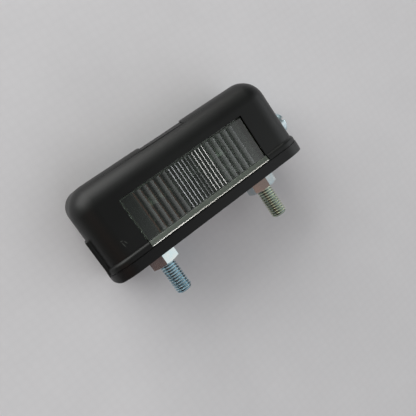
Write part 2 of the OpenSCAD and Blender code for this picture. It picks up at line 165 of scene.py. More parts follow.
def make_floor():
    bm = bmesh.new()
    bmesh.ops.create_grid(bm, x_segments=1, y_segments=1, size=floor_half)
    bmesh.ops.translate(bm, verts=bm.verts, vec=(0, 0, floor_z))
    mesh = bpy.data.meshes.new("floor")
    bm.to_mesh(mesh)
    bm.free()
    floor = bpy.data.objects.new("floor", mesh)
    bpy.context.collection.objects.link(floor)
    material, tree, shader, place = new_material("pale_sheet")
    weave = add_node(tree, "ShaderNodeTexVoronoi", Vector=place, Scale=1 / (weave_mm * mm), Randomness=0.25)
    cloud = add_node(tree, "ShaderNodeTexNoise", Vector=place, Scale=1 / (cloud_mm * mm), Detail=3.0)
    both = add_node(tree, "ShaderNodeMath", {"operation": "MULTIPLY_ADD"},
                    _0=weave.outputs["Distance"], _1=0.5, _2=cloud.outputs["Fac"])
    tone = add_node(tree, "ShaderNodeValToRGB", Fac=both.outputs[0])
    tone.color_ramp.elements[0].position = 0.3
    tone.color_ramp.elements[0].color = linear("#e6e5e7")
    tone.color_ramp.elements[1].position = 1.0
    tone.color_ramp.elements[1].color = linear("#dfdee0")
    tree.links.new(tone.outputs["Color"], shader.inputs["Base Color"])
    shader.inputs["Roughness"].default_value = 0.9
    shader.inputs["Specular IOR Level"].default_value = 0.2
    mesh.materials.append(material)
    return floor


make_floor()
print("floor at", round(floor_z / mm, 2), "mm")

# %% [markdown]
# ## Light
# A black glossy thing is seen mostly by what it mirrors, so the room matters as much as the lamps.
# One large soft window in the picture's upper left lights everything. A low strip past the hood's
# top draws the bright streak along its edge. Two narrow panes on the right stand so low that only
# the steep flanks of the lens's ribs mirror them to the eye, as thin bright lines.

# %% Lamps
def area_lamp(name, place, width, height, power, colour):
    """A rectangle of light that faces the lamp's origin."""
    data = bpy.data.lights.new(name, "AREA")
    data.shape = "RECTANGLE"
    data.size = width
    data.size_y = height
    data.energy = power
    data.color = linear(colour)[:3]
    lamp = bpy.data.objects.new(name, data)
    lamp.location = place
    lamp.rotation_euler = (-place).to_track_quat("-Z", "Y").to_euler()
    lamp.visible_camera = False
    bpy.context.collection.objects.link(lamp)


pane_y, pane_away = -0.05, 0.95


def pane_place(angle):
    """A place on the right, so many degrees down from the zenith."""
    turn = math.radians(angle)
    return Vector((pane_away * math.sin(turn), pane_y, pane_away * math.cos(turn)))


window_place = side * -0.62 + true_up * 0.52 - look * 0.42
area_lamp("window_light", window_place, 1.1, 0.9, 8.2, "#fffefd")
area_lamp("sill_light", Vector((0.27, 0.89, 0.18)), 0.46, 0.045, 0.32, "#fffaf2")
area_lamp("left_pane_light", pane_place(69.6), 0.2, 0.055, 0.075, "#fafcff")
area_lamp("right_pane_light", pane_place(73.8), 0.2, 0.036, 0.09, "#fffefa")
print("four lamps, the window", round(window_place.length, 2), "m away")

# %% [markdown]
# The rest of the room is a world with a dim even light, because the hood's face is darker than its
# rounded edges: the ceiling straight above gives little. Broad soft glows are added to it, each a
# direction that fades out between two angles. A sky picture could do this too, but a few glows are
# easier to move until a reflection sits in the right place. Where the view goes past the floor's
# edge, the camera sees one plain pale grey, which lights nothing.

# %% Room
room_light = (0.092, 0.095, 0.098)
beyond_floor = "#c6c6c7"
glows = [
    # Its direction, the cosines where it starts and where it is full, and its light.
    # Past the hood's top: a pale wall. On the right: a bright wall, the ceiling and a patch in it.
    ((-0.35, 0.90, 0.25), 0.30, 0.95, (0.66, 0.69, 0.66)),
    ((0.97, -0.12, 0.20), 0.86, 0.97, (0.62, 0.65, 0.67)),
    ((0.60, -0.10, 0.80), 0.84, 1.00, (0.26, 0.265, 0.26)),
    ((0.71, -0.10, 0.70), 0.95, 0.99, (0.14, 0.17, 0.15)),
    # On the studs' side: another pale wall.
    ((0.40, -0.85, 0.38), 0.40, 0.90, (0.75, 0.75, 0.77)),
    # On the left: a warm glow, and a wider one that takes a little green and blue away.
    ((-0.57, -0.165, 0.80), 0.955, 0.995, (0.30, 0.14, 0.09)),
    ((-0.80, -0.17, 0.57), 0.88, 0.99, (0.045, -0.02, -0.03)),
]


def make_world():
    world = bpy.data.worlds.new("room")
    bpy.context.scene.world = world
    world.use_nodes = True
    tree = world.node_tree
    room = tree.nodes["Background"]
    direction = add_node(tree, "ShaderNodeTexCoord").outputs["Generated"]
    red, green, blue = room_light
    light = add_node(tree, "ShaderNodeCombineXYZ", X=red, Y=green, Z=blue).outputs[0]
    for aim, edge, full, glow in glows:
        facing = add_node(tree, "ShaderNodeVectorMath", {"operation": "DOT_PRODUCT"}, _0=direction,
                          _1=Vector(aim).normalized()).outputs["Value"]
        amount = add_node(tree, "ShaderNodeMapRange", {"interpolation_type": "SMOOTHSTEP"}, Value=facing,
                          From_Min=edge, From_Max=full).outputs["Result"]
        lit = add_node(tree, "ShaderNodeVectorMath", {"operation": "SCALE"}, _0=glow, Scale=amount)
        light = add_node(tree, "ShaderNodeVectorMath", _0=light, _1=lit.outputs[0]).outputs[0]
    tree.links.new(light, room.inputs["Color"])
    seen = add_node(tree, "ShaderNodeBackground", Color=linear(beyond_floor), Strength=1.0)
    rays = add_node(tree, "ShaderNodeLightPath").outputs["Is Camera Ray"]
    choice = add_node(tree, "ShaderNodeMixShader", _0=rays, _1=room.outputs[0], _2=seen.outputs[0])
    tree.links.new(choice.outputs[0], tree.nodes["World Output"].inputs["Surface"])


make_world()
bpy.context.scene.view_settings.view_transform = "Standard"
print("a dim room with", len(glows), "glows")

# %% [markdown]
# ## Black plastics and rubbers
# The hood and the base are black ABS, moulded in a finely eroded steel mould. That gives a satin
# skin: broad soft highlights, broken up by a fine grain. The grain is drawn a fifth of a
# millimetre wide, because the real one is too fine to show. Rubber seals have the same build with
# a greyer, duller skin, so one function makes all four. Handling has left a few short pale scuffs
# near the hood's left end. Each is a stretched soft spot that is mixed into the skin.

# %% Black plastics
drift_mm = 14
gloss_less, gloss_more = 0.04, 0.06
grain_high, scuff_wide = 0.03, 0.16
scuff_colour = "#434642"


def moulded_plastic(name, colour, lift, roughness, grain_mm, scuffs=()):
    material, tree, shader, place = new_material(name)
    cloud = add_node(tree, "ShaderNodeTexNoise", Vector=place, Scale=1 / (drift_mm * mm), Detail=3.0)
    tone = add_node(tree, "ShaderNodeValToRGB", Fac=cloud.outputs["Fac"])
    tone.color_ramp.elements[0].position = 0.35
    tone.color_ramp.elements[0].color = linear(colour)
    tone.color_ramp.elements[1].position = 0.7
    tone.color_ramp.elements[1].color = linear(lift)
    gloss = add_node(tree, "ShaderNodeMapRange", Value=cloud.outputs["Fac"],
                     To_Min=roughness - gloss_less, To_Max=roughness + gloss_more)
    grain = add_node(tree, "ShaderNodeTexNoise", Vector=place, Scale=1 / (grain_mm * mm), Detail=2.0)
    bump = add_node(tree, "ShaderNodeBump", Height=grain.outputs["Fac"], Strength=0.5,
                    Distance=grain_high * mm)
    skin = tone.outputs["Color"]
    for x, y, turn, length in scuffs:
        mark = add_node(tree, "ShaderNodeMapping", {"vector_type": "TEXTURE"}, Vector=place,
                        Location=Vector((x, y, front)) * mm, Rotation=(0, 0, math.radians(turn)),
                        Scale=Vector((length / 2, scuff_wide, 1)) * mm)
        reach = add_node(tree, "ShaderNodeVectorMath", {"operation": "LENGTH"}, _0=mark.outputs[0])
        worn = add_node(tree, "ShaderNodeMapRange", Value=reach.outputs["Value"], From_Min=1.0, From_Max=0.4)
        skin = add_node(tree, "ShaderNodeMix", {"data_type": "RGBA"}, _0=worn.outputs["Result"], _6=skin,
                        _7=linear(scuff_colour)).outputs[2]
    tree.links.new(skin, shader.inputs["Base Color"])
    tree.links.new(gloss.outputs["Result"], shader.inputs["Roughness"])
    tree.links.new(bump.outputs["Normal"], shader.inputs["Normal"])
    shader.inputs["IOR"].default_value = 1.53
    shader.inputs["Specular IOR Level"].default_value = 0.36
    return material


scuffs = [(-31.2, 9.6, -82, 2.4), (-30.3, 9.9, -70, 1.6), (-31.2, 10.9, -10, 1.2)]
abs_hood = moulded_plastic("moulded_abs_hood", "#040504", "#070907", 0.40, 0.22, scuffs)
abs_base = moulded_plastic("moulded_abs_base", "#040404", "#060606", 0.38, 0.22)
epdm_seal = moulded_plastic("epdm_seal", "#191a1a", "#202121", 0.75, 0.12)
rubber_bush = moulded_plastic("moulded_rubber_bush", "#151515", "#1c1c1c", 0.65, 0.15)
print("two black plastics and two rubbers, with", len(scuffs), "scuffs")

# %% [markdown]
# ## Metals
# The nuts and the hood's screw are zinc plated steel: bright, a little blue, with a tone and a
# gloss that drift over a few millimetres. Inside, the insert, rivets and terminal screws are turned
# brass, the contacts are nickel plated and have gone grey, and the bulb's caps are tinned. All of
# them are the same drift with other colours.

# %% Plated and rolled metals
shine_less, shine_more = 0.05, 0.07


def plated_metal(name, colour, tint, roughness, patch_mm):
    material, tree, shader, place = new_material(name)
    patch = add_node(tree, "ShaderNodeTexNoise", Vector=place, Scale=1 / (patch_mm * mm), Detail=2.0)
    tone = add_node(tree, "ShaderNodeValToRGB", Fac=patch.outputs["Fac"])
    tone.color_ramp.elements[0].position = 0.38
    tone.color_ramp.elements[0].color = linear(colour)
    tone.color_ramp.elements[1].position = 0.66
    tone.color_ramp.elements[1].color = linear(tint)
    gloss = add_node(tree, "ShaderNodeMapRange", Value=patch.outputs["Fac"],
                     To_Min=roughness - shine_less, To_Max=roughness + shine_more)
    tree.links.new(tone.outputs["Color"], shader.inputs["Base Color"])
    tree.links.new(gloss.outputs["Result"], shader.inputs["Roughness"])
    shader.inputs["Metallic"].default_value = 1
    return material


zinc_screw = plated_metal("zinc_plated_screw", "#bcd4dc", "#cfdadc", 0.22, 3)
zinc_nut = plated_metal("zinc_plated_nut", "#c2d2d6", "#d2d6d4", 0.24, 3)
brass = plated_metal("turned_brass", "#7c7152", "#6b6146", 0.40, 4)
spring_brass = plated_metal("nickel_plated_brass", "#55554f", "#6a6860", 0.42, 5)
tin_cap = plated_metal("tinned_brass_cap", "#c4c6c3", "#aeb1b0", 0.25, 3)
tungsten = plated_metal("tungsten_wire", "#7d7e80", "#6c6c6e", 0.4, 2)
print("six plated or rolled metals")

# %% [markdown]
# The studs have the same plating. Their thread roots are painted a darker grey, mostly as painted shade in
# the grooves with a little oil there too, and the crests are painted lighter as a painted highlight. The
# distance from the stud's own axis tells
#  root from crest. One stud's coat is bluish and the other's is a little olive, as such coats vary.

# %% Thread metals
root_shade_r, crest_shade_r = 2.4, 2.9
# The roots' darker grey is painted shade, with a little oil.
root_shade_colour = "#8c9698"


def thread_metal(name, colour, tint, x):
    material, tree, shader, place = new_material(name)
    parts = add_node(tree, "ShaderNodeSeparateXYZ", Vector=place)
    aside = add_node(tree, "ShaderNodeMath", {"operation": "SUBTRACT"}, _0=parts.outputs["X"], _1=x * mm)
    reach = add_node(tree, "ShaderNodeCombineXYZ", X=aside.outputs[0], Z=parts.outputs["Z"])
    radius = add_node(tree, "ShaderNodeVectorMath", {"operation": "LENGTH"}, _0=reach.outputs[0])
    # Painted shade and highlight: darker towards the roots, lighter towards the crests.
    height = add_node(tree, "ShaderNodeMapRange", Value=radius.outputs["Value"],
                      From_Min=root_shade_r * mm, From_Max=crest_shade_r * mm)
    tone = add_node(tree, "ShaderNodeValToRGB", Fac=height.outputs["Result"])
    tone.color_ramp.elements[0].color = linear(root_shade_colour)
    tone.color_ramp.elements[1].position = 0.7
    tone.color_ramp.elements[1].color = linear(colour)
    # The crests' lighter tint is a painted highlight.
    tone.color_ramp.elements.new(1).color = linear(tint)
    tree.links.new(tone.outputs["Color"], shader.inputs["Base Color"])
    shader.inputs["Roughness"].default_value = 0.2
    shader.inputs["Metallic"].default_value = 1
    return material


blue_zinc = thread_metal("blue_zinc_thread", "#b6deee", "#d6eef6", -stud_x)
olive_zinc = thread_metal("olive_zinc_thread", "#c8d4b8", "#e6ebd2", stud_x)
print("two thread metals")

# %% [markdown]
# ## Clear plastic and glass
# The lens is clear polycarbonate. Its polished skin mirrors the room sharply, while a small part
# of the light is lost as haze inside, which lifts it above pure black. A coat stands for the skin.
# Where the mould was left unpolished the same plastic is matt. The bulb is thin drawn glass.

# %% Clear materials
def clear_material(name, colour, ior, roughness, clear, skin_ior=0):
    """`clear` is the share of light that passes, and the rest is haze of the given colour."""
    material, tree, shader, place = new_material(name)
    shader.inputs["Base Color"].default_value = linear(colour)
    shader.inputs["Transmission Weight"].default_value = clear
    if skin_ior:
        shader.inputs["Coat Weight"].default_value = 1
        shader.inputs["Coat Roughness"].default_value = 0.03
        shader.inputs["Coat IOR"].default_value = skin_ior
    shader.inputs["IOR"].default_value = ior
    shader.inputs["Roughness"].default_value = roughness
    return material


polycarbonate = clear_material("moulded_polycarbonate", "#a0aca0", 1.585, 0.05, 0.97, 1.52)
matt_polycarbonate = clear_material("matt_moulded_polycarbonate", "#a8b4a6", 1.585, 0.3, 0.80)
lamp_glass = clear_material("drawn_lamp_glass", "#e6e9e8", 1.52, 0.02, 1.0)
print("three clear materials")

# %% [markdown]
# ## Copies of the construction solids
# A turned or folded piece whose solid already has its true form only needs soft edges and a
# finish. Its mesh is a bag of loose triangles, so a copy is merged, flat areas are dissolved into
# single faces, and a small bevel catches the light along the edges. Weighted normals keep the
# large flat faces flat, so that no shading runs over them from a rounded edge.

# %% Soft edges
merge_mm, wide_merge_mm = 0.002, 0.003
flat_turn = math.radians(1)
flat_weight = 80


def finish_edges(piece, edge, bend=30):
    """Edges that turn more than `bend` degrees are sharp, and are rounded by `edge` millimetres."""
    piece.data.set_sharp_from_angle(angle=math.radians(bend))
    if edge > 0:
        rounding = piece.modifiers.new("soft_edges", "BEVEL")
        rounding.width = edge * mm
        rounding.segments = 3
        rounding.limit_method = "ANGLE"
        rounding.angle_limit = math.radians(bend)
        rounding.harden_normals = True
        rounding.miter_outer = "MITER_ARC"
    even = piece.modifiers.new("flat_faces_stay_flat", "WEIGHTED_NORMAL")
    even.mode = "FACE_AREA"
    even.weight = flat_weight
    even.keep_sharp = True


def declare(piece, node, material, edge, bend=30):
    """Give a piece its finish, hang it under the root body and hide the node that it replaces."""
    for face in piece.data.polygons:
        face.use_smooth = True
    piece.data.materials.clear()
    piece.data.materials.append(material)
    finish_edges(piece, edge, bend)
    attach(piece, "root")
    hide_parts(node)
    print(piece.name, "has", len(piece.data.polygons), "faces")


print("flat areas turn by less than", round(math.degrees(flat_turn), 1), "degree")

# %% Dressed copies
def dressed(node, material, edge):
    copy = bpy.data.objects.new("dressed_" + node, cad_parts[node].data.copy())
    bpy.context.collection.objects.link(copy)
    bm = bmesh.new()
    bm.from_mesh(copy.data)
    bmesh.ops.remove_doubles(bm, verts=bm.verts, dist=merge_mm * mm)
    bmesh.ops.dissolve_limit(bm, angle_limit=flat_turn, verts=bm.verts, edges=bm.edges)
    bm.to_mesh(copy.data)
    bm.free()
    declare(copy, node, material, edge)


plain_copies = {
    "base_plate": ("base_plastic", abs_base, 0.25),
    "lens_seal": ("seal_rubber", epdm_seal, 0.0),
    "hood_seal": ("seal_rubber", epdm_seal, 0.0),
    "nut_left": ("zinc_nut", zinc_nut, 0.12),
    "nut_right": ("zinc_nut", zinc_nut, 0.12),
    "hood_screw": ("zinc_steel", zinc_screw, 0.15),
    "screw_insert": ("insert_brass", brass, 0.1),
    "cable_grommet": ("grommet_rubber", rubber_bush, 0.15),
    "contact_left": ("contact_brass", spring_brass, 0.06),
    "contact_right": ("contact_brass", spring_brass, 0.06),
    "contact_rivet_left": ("insert_brass", brass, 0.05),
    "contact_rivet_right": ("insert_brass", brass, 0.05),
    "terminal_screw_left": ("insert_brass", brass, 0.08),
    "terminal_screw_right": ("insert_brass", brass, 0.08),
    "bulb_glass": ("bulb_glass", lamp_glass, 0.0),
    "bulb_cap_left": ("cap_metal", tin_cap, 0.1),
    "bulb_cap_right": ("cap_metal", tin_cap, 0.1),
    "bulb_filament": ("filament_wire", tungsten, 0.0),
}
for node, (slot, material, edge) in plain_copies.items():
    dressed(node, material, edge)
print("dressed copies:", len(plain_copies))

# %% [markdown]
# ## Tools for new solids
# A tool is a plain block that is joined to a piece or cut from it. Each Boolean step is applied at
# once, so that only a finished mesh is left and no hidden tool stays in the scene.

# %% Blocks and Boolean steps
def new_object(name, bm):
    mesh = bpy.data.meshes.new(name)
    bmesh.ops.recalc_face_normals(bm, faces=bm.faces)
    bm.to_mesh(mesh)
    bm.free()
    piece = bpy.data.objects.new(name, mesh)
    bpy.context.collection.objects.link(piece)
    return piece


def box_solid(low, high):
    bm = bmesh.new()
    bmesh.ops.create_cube(bm, size=1)
    low, high = Vector(low) * mm, Vector(high) * mm
    bmesh.ops.scale(bm, verts=bm.verts, vec=high - low)
    bmesh.ops.translate(bm, verts=bm.verts, vec=(low + high) / 2)
    return new_object("tool", bm)


def prism(points, shift):
    """A flat outline of points, drawn out along a vector."""
    bm = bmesh.new()
    face = bm.faces.new([bm.verts.new(Vector(point) * mm) for point in points])
    grown = bmesh.ops.extrude_face_region(bm, geom=[face])["geom"]
    moved = [g for g in grown if isinstance(g, bmesh.types.BMVert)]
    bmesh.ops.translate(bm, verts=moved, vec=Vector(shift) * mm)
    return new_object("tool", bm)


def disc(radius, x0, x1, y, segments):
    """A round block that lies along the lamp."""
    bm = bmesh.new()
    bmesh.ops.create_cone(bm, cap_ends=True, segments=segments, radius1=radius * mm, radius2=radius * mm,
                          depth=(x1 - x0) * mm)
    bmesh.ops.rotate(bm, verts=bm.verts, matrix=Matrix.Rotation(math.pi / 2, 3, "Y"), cent=(0, 0, 0))
    bmesh.ops.translate(bm, verts=bm.verts, vec=Vector(((x0 + x1) / 2, y, 0)) * mm)
    return new_object("tool", bm)


def boolean(piece, tool, operation):
    step = piece.modifiers.new("step", "BOOLEAN")
    step.operation = operation
    step.solver = "EXACT"
    step.object = tool
    graph = bpy.context.evaluated_depsgraph_get()
    mesh = bpy.data.meshes.new_from_object(piece.evaluated_get(graph))
    piece.modifiers.clear()
    piece.data = mesh
    bpy.data.objects.remove(tool)
    return piece


print("tools: box, prism, disc and Boolean step")

# %% [markdown]
# ## The hood
# The hood is one moulding: a deep arch with large soft edges at the front, where light slides
# off it, and tight ones at the back. A bevelled block can't change its radius along the way, so
# the arch is lofted: a few vertices make one section, a bevel on its corners gives each its
# radius, and neighbouring sections are bridged. At the front the sections shrink along a quarter
# circle, so that three rounded edges meet in part of a sphere.

# %% Sections and lofts
def section(bm, corners, radii, segments, closed):
    """One section: its corner points, each rounded to its own radius."""
    old_edges = set(bm.edges)
    verts = [bm.verts.new(Vector(point) * mm) for point in corners]
    for first, second in zip(verts, verts[1:] + verts[:1]):
        if closed or second is not verts[0]:
            bm.edges.new((first, second))
    for vert, radius in zip(verts, radii):
        if radius > 0:
            bmesh.ops.bevel(bm, geom=[vert], offset=radius * mm, segments=segments, profile=0.5,
                            affect="VERTICES", material=-1, clamp_overlap=False)
    return [edge for edge in bm.edges if edge not in old_edges]


def fill_holes(bm):
    bmesh.ops.holes_fill(bm, edges=[edge for edge in bm.edges if len(edge.link_faces) < 2], sides=0)


def loft(sections, segments, closed):
    """Bridge the sections in their order and close every end."""
    bm = bmesh.new()
    rings = [section(bm, corners, radii, segments, closed) for corners, radii in sections]
    for first, second in zip(rings, rings[1:]):
        bmesh.ops.bridge_loops(bm, edges=first + second)
    bmesh.ops.remove_doubles(bm, verts=bm.verts, dist=merge_mm * mm)
    if not closed:
        for ring in (sections[0], sections[-1]):
            ends = [Vector(ring[0][0]) * mm, Vector(ring[0][-1]) * mm]
            pair = [min(bm.verts, key=lambda vert: (vert.co - end).length) for end in ends]
            if not bm.edges.get(pair):
                bm.edges.new(pair)
    fill_holes(bm)
    return bm


print("vertices within", merge_mm, "mm of each other become one")

# %% Hood arch
foot, back, top = hood_low[1], hood_low[2], hood_high[1]
half_long = -hood_low[0] - lip_out
draft, wall, past = 0.25, 1.8, 1
front_r, corner_r, back_r, hollow_back_r = 8.5, 6.0, 1.5, 0.4
back_steps, front_steps, corner_steps = 6, 14, 14
least_r = 0.01


def quarter(steps):
    """Equal turns from nothing to a quarter circle."""
    return [math.pi / 2 * i / steps for i in range(steps + 1)]


def arch(inset, radius, z, thick):
    side_x = half_long - thick - inset
    height = top - thick - inset
    foot_x = side_x + (draft if thick == 0 else 0)
    low = foot if thick == 0 else foot - past
    corners = [(-foot_x, low, z), (-side_x, height, z), (side_x, height, z), (foot_x, low, z)]
    return corners, (0, radius, radius, 0)


def arch_sections(thick):
    """The outside of the hood where `thick` is nought, and else the hollow behind that wall."""
    sections = []
    rear_r = back_r if thick == 0 else hollow_back_r
    nose_r = front_r - thick
    for turn in quarter(back_steps):
        inset = rear_r * (1 - math.sin(turn))
        z = back + thick + rear_r * (1 - math.cos(turn))
        sections.append(arch(inset, corner_r - thick - inset, z, thick))
    sections.append(arch(0, corner_r - thick, 0, thick))
    for turn in quarter(front_steps):
        inset = nose_r * (1 - math.cos(turn))
        radius = max(nose_r - inset, least_r)
        sections.append(arch(inset, radius, front - front_r + nose_r * math.sin(turn), thick))
    return sections


hood = new_object("hood_moulding", loft(arch_sections(0), corner_steps, False))
print("hood sections:", len(arch_sections(0)))

# %% [markdown]
# A lip runs round the foot of the hood, a flat pad covers the hook on the left end, and a round
# boss carries the screw on the right end. The lip's corners are wide at the front and tight at the
# back, so it is a loft again, standing upright. All three are joined before the hood is hollowed,
# so that the hollow leaves one even wall behind them.

# %% Hood lip
lip_x, lip_front, lip_h, lip_r = -hood_low[0], hood_high[2], 2.2, 1.2
plan_front_r, plan_back_r = 9.0, 2.0
lip_steps = 6


def lip_section(inset, y):
    x, near, far = lip_x - inset, lip_front - inset, back + inset
    corners = [(-x, y, far), (-x, y, near), (x, y, near), (x, y, far)]
    return corners, (plan_back_r - inset, plan_front_r - inset, plan_front_r - inset, plan_back_r - inset)


lip_levels = [lip_section(0, foot)]
for turn in quarter(lip_steps):
    height = foot + lip_h - lip_r + lip_r * math.sin(turn)
    lip_levels.append(lip_section(lip_r * (1 - math.cos(turn)), height))
boolean(hood, new_object("tool", loft(lip_levels, corner_steps, True)), "UNION")
print("lip", lip_h, "mm high")

# %% Hood pad, boss and hollow
pad_x, pad_top, pad_half, pad_thick, pad_soft = 40.15, 16.6, 8.0, 1.7, 0.4
boss_x, boss_r, boss_deep, screw_y = hood_high[0], 4.2, 2, 11.0

pad = box_solid((-pad_x, foot, -pad_half), (-pad_x + pad_thick, pad_top, pad_half))
soft = pad.modifiers.new("soft_edges", "BEVEL")
soft.width = pad_soft * mm
soft.segments = 4
boolean(hood, pad, "UNION")
boolean(hood, disc(boss_r, boss_x - boss_deep, boss_x, screw_y, 64), "UNION")
boolean(hood, new_object("tool", loft(arch_sections(wall), corner_steps, False)), "DIFFERENCE")
print("hood hollowed to a wall of", wall, "mm")

# %% [markdown]
# The front has a window for the lens. In the middle of the top edge lies a shallow notch, most
# likely for a blade that lifts the lamp out. It widens to the back, and at the front it runs out
# on the rounding, where the mould leaves a fine line across it. Drawn as outlines and cut away,
# each keeps its own crisp edge. Both ends are cut last, for the screw and for the base's hook.

# %% Hood window and notch
window_half, window_top, window_back, window_out = 24.7, 21.7, flange_low[2], 15
notch_left, notch_right, notch_deep, notch_flare, notch_ramp = -9.05, 7.55, 0.65, 0.32, 2.6
notch_turn = math.radians(37.7)
line_half, line_in, line_out, rim_step = 0.12, 0.35, 0.3, 0.03
line_past_left, line_past_right = 0.2, 0.8

notch_low, notch_back = top - notch_deep, back - past
rim_y = top - front_r + front_r * math.cos(notch_turn)
rim_z = front - front_r + front_r * math.sin(notch_turn)
floor_end = rim_z - notch_ramp
flare = notch_flare * (floor_end - notch_back)
notch_side = [(notch_low, notch_back), (notch_low, floor_end), (rim_y - rim_step, rim_z),
              (top + past, rim_z), (top + past, notch_back)]
notch_plan = [(notch_left, floor_end), (notch_left - flare, notch_back),
              (notch_right + flare, notch_back), (notch_right, floor_end)]


def at_rim(out, along):
    """A point near the notch's front rim, out from the rounding and along it."""
    return (rim_y + out * math.cos(notch_turn) - along * math.sin(notch_turn),
            rim_z + out * math.sin(notch_turn) + along * math.cos(notch_turn))


rim_line = [at_rim(-line_in, -line_half), at_rim(-line_in, line_half), at_rim(line_out, line_half),
            at_rim(line_out, -line_half)]
line_left, line_right = notch_left - line_past_left, notch_right + line_past_right

window = box_solid((-window_half, foot - past, window_back), (window_half, window_top, window_out))
boolean(hood, window, "DIFFERENCE")
notch_floor = prism([(notch_left, y, z) for y, z in notch_side], (notch_right - notch_left, 0, 0))
boolean(hood, notch_floor, "DIFFERENCE")
notch_flanks = prism([(x, notch_low, z) for x, z in notch_plan], (0, 2 * past, 0))
boolean(hood, notch_flanks, "DIFFERENCE")
fine_line = prism([(line_left, y, z) for y, z in rim_line], (line_right - line_left, 0, 0))
boolean(hood, fine_line, "DIFFERENCE")
print("notch", round(notch_right - notch_left, 2), "mm wide at its front")

# %% Hood screw hole and hook slot
screw_hole_r, screw_hole_from, screw_hole_to = 2.2, 36, 42
slot_low, slot_high = (-38.75, 10.45, -4.25), (-37, 14.1, 4.25)

boolean(hood, disc(screw_hole_r, screw_hole_from, screw_hole_to, screw_y, 32), "DIFFERENCE")
boolean(hood, box_solid(slot_low, slot_high), "DIFFERENCE")
declare(hood, "hood", abs_hood, 0.25)

# %% [markdown]
# ## The lens
# The clear lens is moulded with upright flutes, which spread the bulb's light over the plate:
# eleven fine ribs with a steep right flank in the middle, and five broad round ones on each side.
# They could be cut one by one, but one row of vertices can follow them all from end to end. That
# row is extruded round the lens's section, and only the rows on the face are pushed out.

# %% Lens sizes
lens_air, lens_sunk, lens_foot_top = 0.25, 0.5, 5.7
lens_half, lens_top, lens_face = window_half - lens_air, window_top - lens_air, front - lens_sunk
foot_front, flange_front = lens_high[2], seal_low[2]
fine_pitch, fine_count, fine_high = 1.35, 11, 0.3
broad_pitch, broad_count, broad_high, broad_steps = 2.5, 5, 0.27, 14
flank, ridge_x, ridge_high, ridge_flute = 0.34, 13.9, 0.125, 2
step_run, valley = 0.02, 0.2
edge_in = 0.3
fall = flank * math.tan(math.radians(28))
broad_r = (broad_pitch ** 2 / 4 + broad_high ** 2) / (2 * broad_high)
fine_half = fine_pitch * fine_count / 2
print("broad flutes have a radius of", round(broad_r, 2), "mm")

# %% [markdown]
# One broad flute on the right has a narrow ridge along it, which catches a single bright line. Its
# stops are set on the flute's own curve, so the form stays the same below the ridge's foot.

# %% Flutes
def broad_rise(aside):
    """How far a broad flute stands out, so far from its middle."""
    return math.sqrt(broad_r ** 2 - aside ** 2) - (broad_r - broad_high)


def flute_line():
    """Places along the lens, and how far the flutes stand out at each."""
    line = [(-lens_half, 0), (-lens_half + edge_in, 0), (lens_half - edge_in, 0), (lens_half, 0)]
    for i in range(fine_count):
        centre = (i - (fine_count - 1) / 2) * fine_pitch
        low, high = centre - fine_pitch / 2, centre + fine_pitch / 2
        line += [(low + step_run, fine_high - fall), (high - flank, fine_high), (high, fine_high - fall)]
    for sign in (-1, 1):
        for i in range(broad_count):
            centre = sign * (fine_half + broad_pitch * (i + 0.5))
            for k in range(broad_steps + 1):
                aside = broad_pitch * (k - broad_steps / 2) / (broad_steps + valley)
                line.append((centre + aside, broad_rise(aside)))
    ridge_aside = ridge_x - (fine_half + broad_pitch * (ridge_flute + 0.5))
    line += [(ridge_x - 0.03, broad_rise(ridge_aside)), (ridge_x, broad_rise(ridge_aside)),
             (ridge_x + flank, broad_rise(ridge_aside + flank))]
    return sorted(line)


flutes = flute_line()
print("stops along the lens:", len(flutes))

# %% [markdown]
# The lens's foot carries the hood's lip across the window: a narrow flat, a polished bead, a matt
# ramp and a fine line where it meets the face. Bead and line slope alike, so both show the same
# pale wall. The list below goes once round the section, from the foot up the face to the back. A
# row with a word lies on the face and sinks at both ends. Rows with the word ribs or ridge also
# follow the flutes, and the last kind has the narrow ridge too.

# %% Lens section
bead_slope = math.radians(43.5)
bead_wide, line_wide = 0.36, 0.12
foot_flat, ramp_drop = 0.08, 0.5
rib_foot, rib_top, rib_rise = 5.9, 20.95, 0.05
ridge_foot, ridge_rise = 12.6, 0.3
lens_back = flange_front - 0.6

bead_low = foot + foot_flat
bead_high = bead_low + bead_wide * math.cos(bead_slope)
bead_z = foot_front - bead_wide * math.sin(bead_slope)
ramp_high = lens_foot_top - line_wide * math.cos(bead_slope)
ramp_z = bead_z - ramp_drop
line_z = ramp_z - line_wide * math.sin(bead_slope)
around = [(foot, foot_front, ""), (bead_low, foot_front, ""), (bead_high, bead_z, ""),
          (ramp_high, ramp_z, ""), (lens_foot_top, line_z, ""),
          (lens_foot_top + step_run, lens_face, "face"), (rib_foot, lens_face, "face"),
          (rib_foot + rib_rise, lens_face, "ribs"), (ridge_foot, lens_face, "ribs"),
          (ridge_foot + ridge_rise, lens_face, "ridge"), (rib_top - rib_rise, lens_face, "ridge"),
          (rib_top, lens_face, "face"), (lens_top - edge_in, lens_face, "face"),
          (lens_top, lens_face - edge_in, ""), (lens_top, lens_back, ""), (foot, lens_back, "")]
print("rows round the lens:", len(around))

# %% Lens body
def runs_along(part):
    """True for an edge that runs along the lens."""
    if not isinstance(part, bmesh.types.BMEdge):
        return False
    return abs(part.verts[0].co.x - part.verts[1].co.x) > 0.01 * mm


